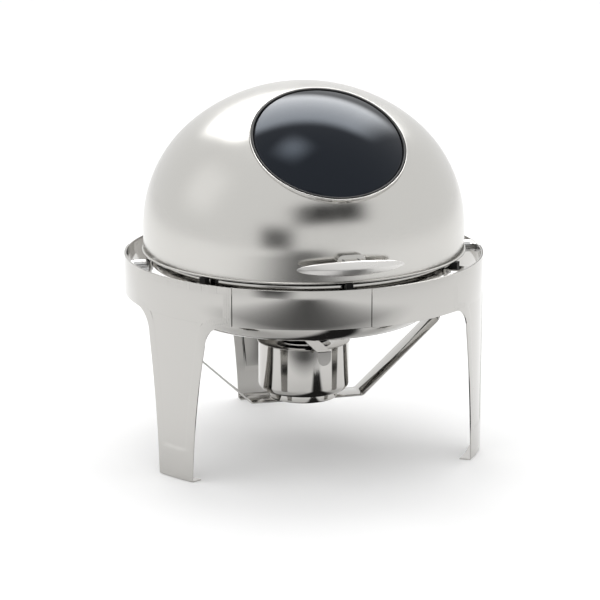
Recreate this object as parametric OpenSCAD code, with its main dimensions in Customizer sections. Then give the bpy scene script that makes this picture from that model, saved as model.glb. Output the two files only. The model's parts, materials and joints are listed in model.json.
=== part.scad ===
// Round roll-top chafer: a domed lid with a glass window rolls back inside a three-legged ring,
// over a water pan, a food pan and a fuel cup that hangs on a bent strap.
// The table is z = 0, the ring's axis is the Z axis, the handle faces -Y and the hinge lies along X.

/* [Stand] */
// Outer radius of the ring and of the legs
ring_r = 216; // [210:1:262]
// Height of the ring's top edge above the table; above ring_r the open lid clears the table
ring_top = 240; // [200:1:300]
// Height of the ring band
band_h = 46; // [40:1:58]
// Thickness of the outer skin of bands and legs
skin_t = 1.4; // [1.2:0.1:2]
// Thickness of the continuous hoop inside the skins
hoop_t = 1.3; // [1:0.1:2]
// Half of the angle that a leg's head covers
head_a = 21.8; // [19:0.1:26]
// Width of the seam between neighbouring skins
seam_w = 0.8; // [0.4:0.1:1.5]

/* [Legs] */
// Half width of a leg at the table
foot_w2 = 28; // [22:1:34]
// Half width of a leg where it meets the fillet
knee_w2 = 46.5; // [36:0.5:50]
// Radius of the fillet between a leg and its head
knee_r = 29; // [20:1:30]
// How far the foot turns in
foot_in = 14; // [8:1:20]
// Depth of the pressed panel on a leg
press_t = 0.5; // [0.3:0.1:0.7]
// Margin between the pressed panel and the edge of the leg's shank
press_gap = 12; // [9:1:15]
// Margin between the pressed panel and the head's edges
press_edge = 10; // [7:1:13]

/* [Lid] */
// Drop of the hinge axis below the ring's top edge
pivot_drop = 7; // [6:0.5:12]
// Play between the lid's crown and the hoop as the lid rolls back
roll_gap = 2; // [1.8:0.1:5]
// Room between the lid's skirt and the hoop
side_gap = 20.3; // [19:0.1:26]
// Distance of the shoulder curve's centre from the lid's axis
shoulder_x = 33; // [24:1:50]
// Height of the lid's rim above the ring
rim_gap = 2.6; // [2:0.1:5]
// Thickness of the lid's sheet
lid_t = 1; // [0.8:0.1:1.5]
// Radius of the rolled bead at the rim
bead_r = 1.2; // [0.8:0.1:1.6]

/* [Window] */
// Elevation of the window's axis
win_el = 55.7; // [50:0.1:58]
// Radius of the hole in the lid
win_r = 93.5; // [72:0.5:96]
// Width of the polished trim ring in the hole
trim_w = 1.6; // [1:0.1:3]
// Width of the gasket between trim ring and glass
gasket_w = 3.2; // [2:0.1:5]
// Radius of the glass's outer curve
glass_curve_r = 190; // [150:1:208]
// Thickness of the glass
glass_t = 4; // [3:0.5:5]
// Width of the retaining ring
retainer_w = 12; // [10:0.5:14]
// Number of studs that hold the retaining ring
stud_n = 8; // [4:1:12]

/* [Handle] */
// Half length of the handle bar
bar_l2 = 64; // [45:1:75]
// Depth of the bar at its middle
bar_d = 12.5; // [10:0.5:16]
// Height of the bar at its middle
bar_h = 18; // [12:0.5:22]
// Height of the bar's middle above the lid's rim
bar_up = 21; // [18:0.5:26]
// Half width of the bar's post
post_w2 = 17; // [12:0.5:22]
// Height of the post
post_h = 15; // [10:0.5:18]
// Distance between the two screws in the post
post_pitch = 18; // [14:0.5:22]

/* [Pans] */
// Play between the lid's skirt and the carrier frame
frame_gap = 9; // [5.5:0.1:10]
// Height of the carrier frame
frame_h = 12; // [10:0.5:16]
// Thickness of frame, strap and bracket sheet
strip_t = 1.5; // [1.2:0.1:2]
// Width of the carrier frame's inward flange
flange_w = 14; // [12:0.5:18]
// Thickness of the pans
pan_t = 1; // [0.8:0.1:1.4]
// Depth of the water pan
water_depth = 78; // [66:1:82]
// Depth of the food pan
food_depth = 60; // [40:1:64]
// Corner radius of the water pan
water_fillet = 34; // [16:1:40]
// Corner radius of the food pan
food_fillet = 20; // [10:1:30]

/* [Burner] */
// Width of the hanger strap
strap_w = 38; // [28:1:44]
// Free height between the burner's cover and the water pan
flame_gap = 30.5; // [22:0.5:36]
// Outer radius of the fuel cup
cup_r = 55; // [48:0.5:60]
// Height of the fuel cup
cup_h = 60; // [50:1:64]
// Radius of the cup's base
base_r = 41; // [36:0.5:44]
// Height of the cup's base
base_h = 9.5; // [8:0.5:12]
// Radius of the hole in the cup's cover
flame_r = 30; // [22:0.5:33]
// Length of the damper's lever beyond its rivet
lever_l = 43; // [32:1:56]
// Direction of the damper's lever, turned from the front towards +X
lever_a = 0; // [0:1:40]

/* [Hidden] */
$fn = 128;

big = 2 * ring_r;
fit = 0.05;
touch = 0.02;

// stand
skin_in = ring_r - skin_t;
hoop_in = skin_in - hoop_t;
ring_low = ring_top - band_h;
leg_angles = [-60, 60, 180];
band_a = 60 - head_a;
seam_a = asin(seam_w / 2 / ring_r);
knee_z = ring_low - knee_r;
rivet_r = 2;
rivet_head_r = 4;
rivet_head_t = 0.9;
rivet_rise = 13;
rivet_side_a = 13;

// lid
pivot_z = ring_top - pivot_drop;
crown_r = hoop_in - roll_gap;
skirt_r = hoop_in - side_gap;
shoulder_r = skirt_r - shoulder_x;
shoulder_z = pivot_z + sqrt(pow(crown_r - shoulder_r, 2) - pow(shoulder_x, 2));
rim_z = ring_top + rim_gap;
skirt_low = rim_z + bead_r / 2;
crown_a = atan2(shoulder_z - pivot_z, shoulder_x);

// hinge
pin_r = 4;
pin_head_r = 6.2;
pin_head_t = 1.6;
bush_r = 6;
ear_w = 24;
ear_t = 1.5;
ear_pad_low = 3;
ear_pad_up = 20;
ear_lug_up = 12;
ear_out = sqrt(pow(skirt_r - lid_t, 2) - pow(ear_w / 2, 2)) - fit;
ear_in = ear_out - ear_t;
ear_pad_a = asin(ear_w / 2 / skirt_r);
play = 0.15;
bush_x0 = ear_in - 0.4;
bush_x1 = ear_out + 0.6;
washer_t = 0.8;
washer_r = 7;
washer_x = bush_x0 - play - washer_t;
nut_t = 3.4;
nut_r = 6.6;
nut_x = hoop_in - 0.2 - nut_t;
spacer_r = 7.5;

// window, in a frame whose +Z is the window's axis from the hinge centre
win_taper = 0.8;
trim_r = win_r - win_taper / 2 - fit;
gasket_r = trim_r - trim_w - fit;
glass_r = gasket_r - gasket_w;
rim_rise = sqrt(pow(crown_r, 2) - pow(win_r, 2));
gasket_top = rim_rise + 2.2;
retainer_r = win_r + 0.6 * retainer_w;
// the shoulder falls away from the crown's sphere below the window, so the ring sits deeper
low_a = win_el - asin(retainer_r / crown_r);
low_mid = shoulder_x * cos(low_a) + (shoulder_z - pivot_z) * sin(low_a);
low_reach = low_mid + sqrt(pow(low_mid, 2) + pow(shoulder_r, 2) - pow(crown_r - shoulder_r, 2));
retainer_top = sqrt(pow(low_reach - lid_t, 2) - pow(retainer_r, 2)) - 0.4;
retainer_t = 1.2;
glass_edge_z = gasket_top - 0.8;
glass_z0 = glass_edge_z - sqrt(pow(glass_curve_r, 2) - pow(glass_r, 2));
win_stud_r = 1.5;
win_stud_ring = win_r + 3.4;
win_stud_l = 30;
win_nut_r = 3.2;
win_nut_t = 2;
ledge_w = 3.8;
glass_low_z = glass_z0 + sqrt(pow(glass_curve_r - glass_t, 2) - pow(glass_r, 2));
trim_low = rim_rise - 8;
trim_top = rim_rise + 1.6;

// handle
bar_z = rim_z + bar_up;
bar_y = ring_r - 0.5;
bar_tip_y = bar_y - 15;
post_z = bar_z + 7;
post_seat = 0.3;
post_back = bar_y - bar_d + post_seat;
backing_t = 1.2;
backing_a = 7;
handle_screw_r = 2;
handle_head_r = 3.8;
handle_head_t = 2.2;

// pans and carrier frame
skirt_in = skirt_r - lid_t;
frame_r = skirt_in - frame_gap;
frame_low = ring_top - 2 - frame_h;
frame_top = frame_low + frame_h;
flange_in = frame_r - flange_w;
strap_x = flange_in - 1 - strip_t;
water_wall = strap_x - 3;
water_low = frame_top + pan_t - water_depth;
food_seat = frame_top + pan_t;
food_flange = frame_r - 3;
food_wall = water_wall - pan_t - 6;
food_low = food_seat + pan_t - food_depth;

// brackets between hoop and carrier frame
bracket_angles = [-52, 0, 52];
bracket_w = 22;
bracket_z = frame_top - 3;
bracket_tab = 9;
bracket_screw_r = 2;
bracket_head_r = 2.9;
bumper_w = 8;
bumper_l = 9;

// burner
plate_z = water_low - flame_gap - cup_h - base_h - 2 * strip_t - 0.6;
lid_reach = skirt_in - 2;
fold_x = sqrt(pow(lid_reach, 2) - pow(pivot_z - plate_z, 2) - pow(strap_w / 2, 2));
knee_x = strap_x + strip_t / 2;
knee_up = pivot_z - sqrt(pow(lid_reach, 2) - pow(knee_x + strip_t, 2) - pow(strap_w / 2, 2));
base_z = plate_z + strip_t;
cup_z = base_z + base_h;
cup_top = cup_z + cup_h;
cup_t = 1.2;
cup_fillet = 9;
cover_t = 1.2;
cover_lip = 1.3;
damper_z = cup_top + cover_t + 0.3;
damper_t = 1;
damper_r = flame_r + 3;
damper_pivot = cup_r - 6.5;
damper_rivet_r = 2.5;
lever_w = 17;
lever_drop = 11;
bolt_r = 3;
vent_n = 6;

// a sector of a tube, from angle a0 to a1 measured from the front towards +X
module tube_sector(r0, r1, z0, z1, a0, a1) {
    rotate([0, 0, a0 - 90])
        rotate_extrude(angle = a1 - a0)
            translate([r0, z0])
                square([r1 - r0, z1 - z0]);
}

// turns a piece that faces the front to angle a, towards +X
module at_angle(a) {
    rotate([0, 0, a])
        children();
}

// a cylinder along the radius at the front, from radius r0 to r1
module radial_pin(r, r0, r1, z) {
    translate([0, -r0, z])
        rotate([90, 0, 0])
            cylinder(r = r, h = r1 - r0);
}

// a cylinder along +X from x0 to x1 at the hinge axis height or another
module x_pin(r, x0, x1, z = pivot_z, y = 0) {
    translate([x0, y, z])
        rotate([0, 90, 0])
            cylinder(r = r, h = x1 - x0);
}

module both_sides() {
    children();
    mirror([1, 0, 0])
        children();
}

// half width of a leg's shank at height z
function shank_w2(z) = let (t = z / knee_z) foot_w2 + (knee_w2 - foot_w2) * (0.3 * t + 0.7 * t * t);

// outline of a leg seen from outside, grown or shrunk by the two margins
module leg_outline(shank_gap, edge_gap) {
    steps = 12;
    head_x = skin_in * sin(head_a) - edge_gap;
    arc_x = knee_w2 + knee_r - shank_gap;
    right = concat(
        [for (i = [0:steps])
            let (z = shank_gap * 3.2 * (1 - i / steps) + knee_z * i / steps)
            [shank_w2(z) - shank_gap, z]],
        [for (i = [1:steps])
            let (a = 90 * i / steps)
            [arc_x - knee_r * cos(a), knee_z + (knee_r + edge_gap) * sin(a)]],
        [[head_x, ring_low + edge_gap], [head_x, ring_top - edge_gap]]);
    left = [for (i = [len(right) - 1:-1:0]) [-right[i][0], right[i][1]]];
    polygon(concat(right, left));
}

// the rivets' places on a leg's head: [angle from the leg's centre, height]
rivet_places = [for (side = [-1, 1]) for (z = [ring_low + rivet_rise, ring_top - rivet_rise - 6])
    [side * rivet_side_a, z]];

module leg(a) {
    color("gainsboro")
        at_angle(a) {
            difference() {
                intersection() {
                    tube_sector(skin_in, ring_r, 0, ring_top, -head_a + seam_a, head_a - seam_a);
                    translate([0, -ring_r / 2, 0])
                        rotate([90, 0, 0])
                            linear_extrude(ring_r)
                                leg_outline(0, 0);
                }
                difference() {
                    translate([0, -ring_r / 2, 0])
                        rotate([90, 0, 0])
                            linear_extrude(ring_r)
                                leg_outline(press_gap, press_edge);
                    translate([0, 0, -1])
                        cylinder(r = ring_r - press_t, h = big);
                }
                for (p = rivet_places)
                    rotate([0, 0, p[0]])
                        radial_pin(rivet_r + fit, hoop_in - 1, skin_in + 0.8, p[1]);
            }
            intersection() {
                tube_sector(ring_r - foot_in, skin_in + touch, 0, skin_t, -head_a, head_a);
                translate([-foot_w2, -ring_r, 0])
                    cube([2 * foot_w2, ring_r, skin_t]);
            }
        }
}
module leg_left() { leg(leg_angles[0]); }
module leg_right() { leg(leg_angles[1]); }
module leg_back() { leg(leg_angles[2]); }

module band(a) {
    color("silver")
        tube_sector(skin_in, ring_r, ring_low, ring_top, a - band_a + seam_a, a + band_a - seam_a);
}
module band_front() { band(0); }
module band_left() { band(-120); }
module band_right() { band(120); }

module ring_hoop() {
    color("silver")
        difference() {
            tube_sector(hoop_in, skin_in, ring_low, ring_top, 0, 360);
            for (a = leg_angles)
                for (p = rivet_places)
                    rotate([0, 0, a + p[0]])
                        radial_pin(rivet_r + fit, hoop_in - 1, ring_r, p[1]);
            both_sides()
                x_pin(pin_r + fit, hoop_in - 1, ring_r);
            for (a = bracket_angles)
                at_angle(a)
                    radial_pin(bracket_screw_r + fit, hoop_in - 1, ring_r, bracket_z - bracket_tab / 2);
        }
}

module leg_rivets() {
    color("dimgray")
        for (a = leg_angles)
            for (p = rivet_places)
                rotate([0, 0, a + p[0]]) {
                    radial_pin(rivet_r, hoop_in - fit - touch, skin_in + 0.8, p[1]);
                    radial_pin(rivet_head_r, hoop_in - rivet_head_t - fit, hoop_in - fit, p[1]);
                }
}

// carrier frame for the pans: a short wall with an inward flange at its foot
module pan_frame() {
    color("silver")
        difference() {
            union() {
                tube_sector(frame_r - strip_t, frame_r, frame_low, frame_top, 0, 360);
                tube_sector(flange_in, frame_r - strip_t + touch, frame_low, frame_low + strip_t,
                    0, 360);
            }
            for (a = bracket_angles)
                at_angle(a)
                    radial_pin(bracket_screw_r + fit, flange_in, frame_r + 1, bracket_z - bracket_tab / 2);
        }
}

// a plate across the gap with a tab turned down at each end
module frame_brackets() {
    inner = frame_r + fit;
    outer = hoop_in - 0.35;
    color("silver")
        for (a = bracket_angles)
            at_angle(a)
                difference() {
                    union() {
                        translate([-bracket_w / 2, -outer, bracket_z - strip_t])
                            cube([bracket_w, outer - inner, strip_t]);
                        translate([-bracket_w / 2, -outer, bracket_z - bracket_tab])
                            cube([bracket_w, strip_t, bracket_tab]);
                        translate([-bracket_w / 2, -inner - strip_t, bracket_z - bracket_tab])
                            cube([bracket_w, strip_t, bracket_tab]);
                    }
                    radial_pin(bracket_screw_r + fit, inner - 2, outer + 2,
                        bracket_z - bracket_tab / 2);
                }
}

module bracket_screws() {
    z = bracket_z - bracket_tab / 2;
    inner = frame_r + fit + strip_t;
    outer = hoop_in - 0.35 - strip_t;
    color("gray")
        for (a = bracket_angles)
            at_angle(a) {
                radial_pin(bracket_screw_r, outer - touch, skin_in - fit, z);
                radial_pin(bracket_head_r, outer - 2, outer, z);
                radial_pin(bracket_screw_r, frame_r - strip_t - 2, inner + touch, z);
                radial_pin(bracket_head_r, inner, inner + 2, z);
            }
}

module lid_bumpers() {
    color("black")
        for (a = bracket_angles)
            at_angle(a)
                translate([-bumper_w / 2, -skirt_r - bumper_l / 2, bracket_z])
                    cube([bumper_w, bumper_l, rim_z - bracket_z - fit]);
}

module hinge_pins() {
    color("gray")
        both_sides() {
            x_pin(pin_r, washer_x - play - touch, skin_in - fit);
            x_pin(pin_head_r, washer_x - play - pin_head_t, washer_x - play);
        }
}

module hinge_washers() {
    color("silver")
        both_sides()
            difference() {
                x_pin(washer_r, washer_x, washer_x + washer_t);
                x_pin(pin_r + fit, washer_x - 1, washer_x + 2);
            }
}

module hinge_spacers() {
    color("silver")
        both_sides()
            difference() {
                x_pin(spacer_r, bush_x1 + play, nut_x - fit);
                x_pin(pin_r + fit, bush_x1, nut_x + 1);
            }
}

module hinge_nuts() {
    color("gray")
        both_sides()
            difference() {
                translate([nut_x, 0, pivot_z])
                    rotate([0, 90, 0])
                        cylinder(r = nut_r, h = nut_t, $fn = 6);
                x_pin(pin_r, nut_x - 1, hoop_in);
            }
}

// ---- burner ----

// a strip in the XZ plane from point p to point q, with round ends
module strip2d(p, q) {
    d = q - p;
    translate(p)
        rotate(atan2(d[1], d[0]))
            translate([0, -strip_t / 2])
                square([norm(d), strip_t]);
    translate(p)
        circle(r = strip_t / 2);
    translate(q)
        circle(r = strip_t / 2);
}

module fuel_hanger() {
    mid = plate_z + strip_t / 2;
    hook_z = frame_low + strip_t * 1.5 + fit;
    path = [[0, mid], [fold_x, mid], [knee_x, knee_up], [knee_x, hook_z], [flange_in + 8, hook_z]];
    color("gainsboro")
        difference() {
            translate([0, strap_w / 2, 0])
                rotate([90, 0, 0])
                    linear_extrude(strap_w)
                        both_sides()
                            for (i = [0:len(path) - 2])
                                strip2d(path[i], path[i + 1]);
            translate([0, 0, plate_z - 1])
                cylinder(r = bolt_r + fit, h = 4);
        }
}

// a bowl's outline: radius r, from z0 up to z1, with its lower corner rounded
module bowl2d(r, z0, z1, corner) {
    translate([0, z0 + corner])
        square([r, z1 - z0 - corner]);
    translate([0, z0])
        square([r - corner, z1 - z0]);
    intersection() {
        translate([r - corner, z0 + corner])
            circle(r = corner);
        translate([0, z0])
            square([r + 1, z1 - z0]);
    }
}

module cup_base() {
    color("silver")
        difference() {
            translate([0, 0, base_z])
                cylinder(r = base_r, h = base_h);
            translate([0, 0, base_z + cup_t])
                cylinder(r = base_r - cup_t, h = base_h);
            translate([0, 0, base_z - 1])
                cylinder(r = bolt_r + fit, h = base_h);
            for (i = [0:vent_n - 1])
                at_angle(i * 360 / vent_n + 16)
                    translate([-3, -base_r - 1, base_z + 3])
                        cube([6, 4, base_h - 6]);
        }
}

module fuel_cup() {
    color("silver")
        rotate_extrude()
            difference() {
                bowl2d(cup_r, cup_z, cup_top, cup_fillet);
                bowl2d(cup_r - cup_t, cup_z + cup_t, cup_top + 5, cup_fillet - cup_t);
            }
}

module cup_cover() {
    color("silver")
        difference() {
            union() {
                translate([0, 0, cup_top])
                    cylinder(r = cup_r + cover_lip, h = cover_t);
                tube_sector(cup_r - 2 * cup_t - fit, cup_r - cup_t - fit, cup_top - 6,
                    cup_top + touch, 0, 360);
            }
            translate([0, 0, cup_top - 8])
                cylinder(r = flame_r, h = 12);
            at_angle(lever_a)
                translate([0, -damper_pivot, cup_top - 8])
                    cylinder(r = damper_rivet_r + fit, h = 12);
        }
}

module cup_bolt() {
    color("gray")
        translate([0, 0, plate_z]) {
            translate([0, 0, -3])
                cylinder(r = 5.5, h = 3, $fn = 6);
            translate([0, 0, -touch])
                cylinder(r = bolt_r, h = base_h - 1);
        }
}

module cup_nut() {
    color("gray")
        translate([0, 0, base_z + cup_t])
            difference() {
                cylinder(r = 5.5, h = 3.5, $fn = 6);
                translate([0, 0, -1])
                    cylinder(r = bolt_r, h = 6);
            }
}

// a round damper plate with a lever whose end is turned down, swivelling on its rivet
module damper() {
    tip = damper_pivot + lever_l;
    color("gainsboro")
        at_angle(lever_a)
            difference() {
                union() {
                    translate([0, 0, damper_z])
                        cylinder(r = damper_r, h = damper_t);
                    translate([-lever_w / 2, -tip, damper_z])
                        cube([lever_w, tip - damper_r / 2, damper_t]);
                    translate([-lever_w / 2, -tip, damper_z - lever_drop + lever_w / 2])
                        cube([lever_w, damper_t, lever_drop - lever_w / 2 + damper_t]);
                    translate([0, -tip + damper_t, damper_z - lever_drop + lever_w / 2])
                        rotate([90, 0, 0])
                            cylinder(r = lever_w / 2, h = damper_t);
                }
                translate([0, -damper_pivot, damper_z - 1])
                    cylinder(r = damper_rivet_r + fit, h = 4);
            }
}

module damper_rivet() {
    color("gray")
        at_angle(lever_a)
            translate([0, -damper_pivot, cup_top - 1.2]) {
                cylinder(r = damper_rivet_r, h = damper_z + damper_t + 0.4 - cup_top + 1.2);
                cylinder(r = damper_rivet_r + 0.8, h = 1.2 - touch);
                translate([0, 0, damper_z + damper_t + 0.15 - cup_top + 1.2])
                    cylinder(r = damper_rivet_r + 1.5, h = 1);
            }
}

// ---- lid ----

// the solid that the lid would fill, shrunk by t
module dome2d(t) {
    intersection() {
        union() {
            intersection() {
                translate([0, pivot_z])
                    circle(r = crown_r - t);
                translate([0, pivot_z])
                    polygon([[0, 0], [big * cos(crown_a), big * sin(crown_a)], [0, big * sin(crown_a)]]);
            }
            translate([shoulder_x, shoulder_z])
                circle(r = shoulder_r - t);
            square([skirt_r - t, shoulder_z]);
        }
        translate([0, skirt_low - t])
            square([big, big]);
    }
}

// places what is drawn about the window's axis
module window_frame() {
    translate([0, 0, pivot_z])
        rotate([90 - win_el, 0, 0])
            children();
}

module dome_shell() {
    color("whitesmoke")
        difference() {
            union() {
                rotate_extrude()
                    difference() {
                        dome2d(0);
                        dome2d(lid_t);
                    }
                rotate_extrude()
                    translate([skirt_r + bead_r / 3, rim_z + bead_r])
                        circle(r = bead_r, $fn = 32);
            }
            window_frame()
                translate([0, 0, rim_rise - 40])
                    cylinder(r1 = win_r - win_taper / 2, r2 = win_r + win_taper / 2, h = 80);
            for (x = [-post_pitch / 2, post_pitch / 2])
                translate([x, 0, 0])
                    radial_pin(handle_screw_r + fit, skirt_in - 4, skirt_r + 4, post_z);
        }
}

// hinge ear: a curved pad welded inside the skirt and a flat lug that reaches down to the pin
module ear() {
    color("silver")
        difference() {
            union() {
                tube_sector(skirt_in - fit - ear_t, skirt_in - fit, rim_z + ear_pad_low,
                    rim_z + ear_pad_up, 90 - ear_pad_a, 90 + ear_pad_a);
                translate([ear_in, -ear_w / 2, pivot_z])
                    cube([ear_t, ear_w, rim_z + ear_lug_up - pivot_z]);
                x_pin(ear_w / 2, ear_in, ear_out);
            }
            x_pin(bush_r, ear_in - 1, ear_out + 1);
        }
}
module ear_right() { ear(); }
module ear_left() {
    mirror([1, 0, 0])
        ear();
}

module hinge_bushes() {
    color("ivory")
        both_sides()
            difference() {
                x_pin(bush_r, bush_x0, bush_x1);
                x_pin(pin_r + fit, bush_x0 - 1, bush_x1 + 1);
            }
}

module window_glass() {
    color([0.1, 0.1, 0.13, 0.6])
        window_frame()
            intersection() {
                difference() {
                    translate([0, 0, glass_z0])
                        sphere(r = glass_curve_r);
                    translate([0, 0, glass_z0])
                        sphere(r = glass_curve_r - glass_t);
                }
                translate([0, 0, glass_low_z])
                    cylinder(r = glass_r - fit, h = big);
            }
}

module window_trim() {
    color("whitesmoke")
        window_frame()
            difference() {
                translate([0, 0, trim_low])
                    cylinder(r = trim_r, h = trim_top - trim_low);
                translate([0, 0, trim_low - 1])
                    cylinder(r = trim_r - trim_w, h = big);
            }
}

module window_gasket() {
    color("black")
        window_frame()
            difference() {
                translate([0, 0, retainer_top + fit])
                    cylinder(r = gasket_r, h = gasket_top - retainer_top - fit);
                translate([0, 0, glass_low_z - fit])
                    cylinder(r = glass_r, h = big);
                translate([0, 0, retainer_top - 1])
                    cylinder(r = glass_r - ledge_w, h = big);
            }
}

module window_retainer() {
    color("silver")
        window_frame()
            difference() {
                translate([0, 0, retainer_top - retainer_t])
                    cylinder(r = retainer_r, h = retainer_t);
                translate([0, 0, retainer_top - retainer_t - 1])
                    cylinder(r = retainer_r - retainer_w, h = big);
                for (i = [0:stud_n - 1])
                    rotate([0, 0, (i + 0.5) * 360 / stud_n])
                        translate([win_stud_ring, 0, retainer_top - 3])
                            cylinder(r = win_stud_r + fit, h = 6);
            }
}

// studs welded inside the lid around the window
module retainer_studs() {
    low = retainer_top - retainer_t - win_nut_t - 1;
    color("gray")
        intersection() {
            window_frame()
                for (i = [0:stud_n - 1])
                    rotate([0, 0, (i + 0.5) * 360 / stud_n])
                        translate([win_stud_ring, 0, low])
                            cylinder(r = win_stud_r, h = win_stud_l);
            rotate_extrude()
                dome2d(lid_t + fit);
        }
}

module retainer_nuts() {
    color("gray")
        window_frame()
            for (i = [0:stud_n - 1])
                rotate([0, 0, (i + 0.5) * 360 / stud_n])
                    translate([win_stud_ring, 0, retainer_top - retainer_t - win_nut_t])
                        difference() {
                            cylinder(r = win_nut_r, h = win_nut_t, $fn = 6);
                            translate([0, 0, -1])
                                cylinder(r = win_stud_r, h = win_nut_t + 2);
                        }
}

// crescent bar: a crescent seen from above, a lens seen from the front
module handle_bar() {
    tip = bar_tip_y;
    mid_out = bar_y;
    mid_in = bar_y - bar_d;
    // radius of an arc through (0, m) and (bar_l2, tip)
    function arc_r(m) = (pow(bar_l2, 2) + pow(m - tip, 2)) / (2 * (m - tip));
    lens_r = (pow(bar_l2 + 2, 2) + pow(bar_h / 2, 2)) / bar_h;
    color("whitesmoke")
        difference() {
            intersection() {
                translate([0, 0, bar_z - bar_h])
                    linear_extrude(2 * bar_h)
                        difference() {
                            translate([0, -mid_out + arc_r(mid_out)])
                                circle(r = arc_r(mid_out));
                            translate([0, -mid_in + arc_r(mid_in)])
                                circle(r = arc_r(mid_in));
                            translate([-big / 2, -tip])
                                square([big, big]);
                        }
                translate([0, -ring_r / 2, bar_z])
                    rotate([90, 0, 0])
                        linear_extrude(ring_r)
                            intersection() {
                                translate([0, lens_r - bar_h / 2])
                                    circle(r = lens_r);
                                translate([0, bar_h / 2 - lens_r])
                                    circle(r = lens_r);
                            }
            }
            for (x = [-post_pitch / 2, post_pitch / 2])
                translate([x, 0, 0])
                    radial_pin(handle_screw_r + fit, post_back - 2, post_back + 6, post_z);
            translate([-post_w2 - fit, -post_back, post_z - post_h / 2 - fit])
                cube([2 * (post_w2 + fit), bar_d / 2, post_h + 2 * fit]);
        }
}

module handle_post() {
    color("whitesmoke")
        difference() {
            translate([0, -skirt_r + 4, post_z])
                rotate([90, 0, 0])
                    linear_extrude(post_back - skirt_r + 4 - fit) {
                        square([2 * post_w2 - post_h, post_h], center = true);
                        for (side = [-1, 1])
                            translate([side * (post_w2 - post_h / 2), 0])
                                circle(r = post_h / 2);
                    }
            cylinder(r = skirt_r + fit, h = big);
            for (x = [-post_pitch / 2, post_pitch / 2])
                translate([x, 0, 0])
                    radial_pin(handle_screw_r + fit, skirt_r - 8, post_back + 6, post_z);
        }
}

module handle_backing() {
    color("silver")
        difference() {
            intersection() {
                tube_sector(skirt_in - fit - backing_t, skirt_r, post_z - post_h / 2,
                    post_z + post_h / 2, -backing_a, backing_a);
                rotate_extrude()
                    dome2d(lid_t + fit);
            }
            for (x = [-post_pitch / 2, post_pitch / 2])
                translate([x, 0, 0])
                    radial_pin(handle_screw_r + fit, skirt_in - 8, skirt_in + 6, post_z);
        }
}

module handle_screws() {
    reach = post_pitch / 2 + handle_head_r;
    seat = sqrt(pow(skirt_in - backing_t - fit, 2) - pow(reach, 2)) - fit;
    color("gray")
        for (x = [-post_pitch / 2, post_pitch / 2])
            translate([x, 0, 0]) {
                radial_pin(handle_screw_r, seat - touch, post_back + 5, post_z);
                radial_pin(handle_head_r, seat - handle_head_t, seat, post_z);
            }
}

// ---- pans ----

module flanged_pan(wall, low, rim, edge, corner) {
    rotate_extrude() {
        difference() {
            bowl2d(wall, low, rim, corner);
            bowl2d(wall - pan_t, low + pan_t, rim + 5, corner - pan_t);
        }
        translate([wall - touch, rim - pan_t])
            square([edge - wall + touch, pan_t]);
    }
}

module water_pan() {
    color("silver")
        flanged_pan(water_wall, water_low, frame_top + pan_t + fit, frame_r, water_fillet);
}

module food_pan() {
    color("silver")
        flanged_pan(food_wall, food_low + 2 * fit, food_seat + pan_t + 2 * fit, food_flange,
            food_fillet);
}

ring_hoop();
band_front();
band_left();
band_right();
leg_left();
leg_right();
leg_back();
leg_rivets();
pan_frame();
frame_brackets();
bracket_screws();
lid_bumpers();
hinge_pins();
hinge_spacers();
hinge_washers();
hinge_nuts();
fuel_hanger();
cup_base();
fuel_cup();
cup_cover();
cup_bolt();
cup_nut();
damper();
damper_rivet();
dome_shell();
ear_left();
ear_right();
hinge_bushes();
window_glass();
window_trim();
window_gasket();
window_retainer();
retainer_studs();
retainer_nuts();
handle_bar();
handle_post();
handle_backing();
handle_screws();
water_pan();
food_pan();
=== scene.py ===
# %% Start
import json
import math
import bpy
import numpy as np
from mathutils import Matrix, Vector


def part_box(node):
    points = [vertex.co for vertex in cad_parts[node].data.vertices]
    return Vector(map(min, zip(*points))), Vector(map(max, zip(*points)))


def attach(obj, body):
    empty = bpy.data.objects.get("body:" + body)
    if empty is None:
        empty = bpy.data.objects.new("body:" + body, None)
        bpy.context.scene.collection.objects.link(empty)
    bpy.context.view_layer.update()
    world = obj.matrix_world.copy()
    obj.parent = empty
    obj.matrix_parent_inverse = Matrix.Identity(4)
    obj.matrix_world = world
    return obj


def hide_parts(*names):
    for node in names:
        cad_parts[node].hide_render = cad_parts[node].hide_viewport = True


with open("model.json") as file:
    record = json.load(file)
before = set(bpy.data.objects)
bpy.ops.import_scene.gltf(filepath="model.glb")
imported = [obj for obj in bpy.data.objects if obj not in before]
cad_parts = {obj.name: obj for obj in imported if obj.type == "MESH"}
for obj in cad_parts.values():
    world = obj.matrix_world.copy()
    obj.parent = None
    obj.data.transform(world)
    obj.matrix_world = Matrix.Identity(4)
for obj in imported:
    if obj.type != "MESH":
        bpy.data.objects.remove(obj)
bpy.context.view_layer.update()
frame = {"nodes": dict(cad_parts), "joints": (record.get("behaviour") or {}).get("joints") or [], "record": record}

# %% [markdown]
# A roll top chafer is mostly spun and pressed sheet steel, so most of its pieces are either turned
# shapes or bent strips. Before any piece is made, the main sizes are read from the CAD model: the
# radii, the heights and the point that the lid turns about. Every later step uses these names, so
# the looks stay on top of the mechanical model.

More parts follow.
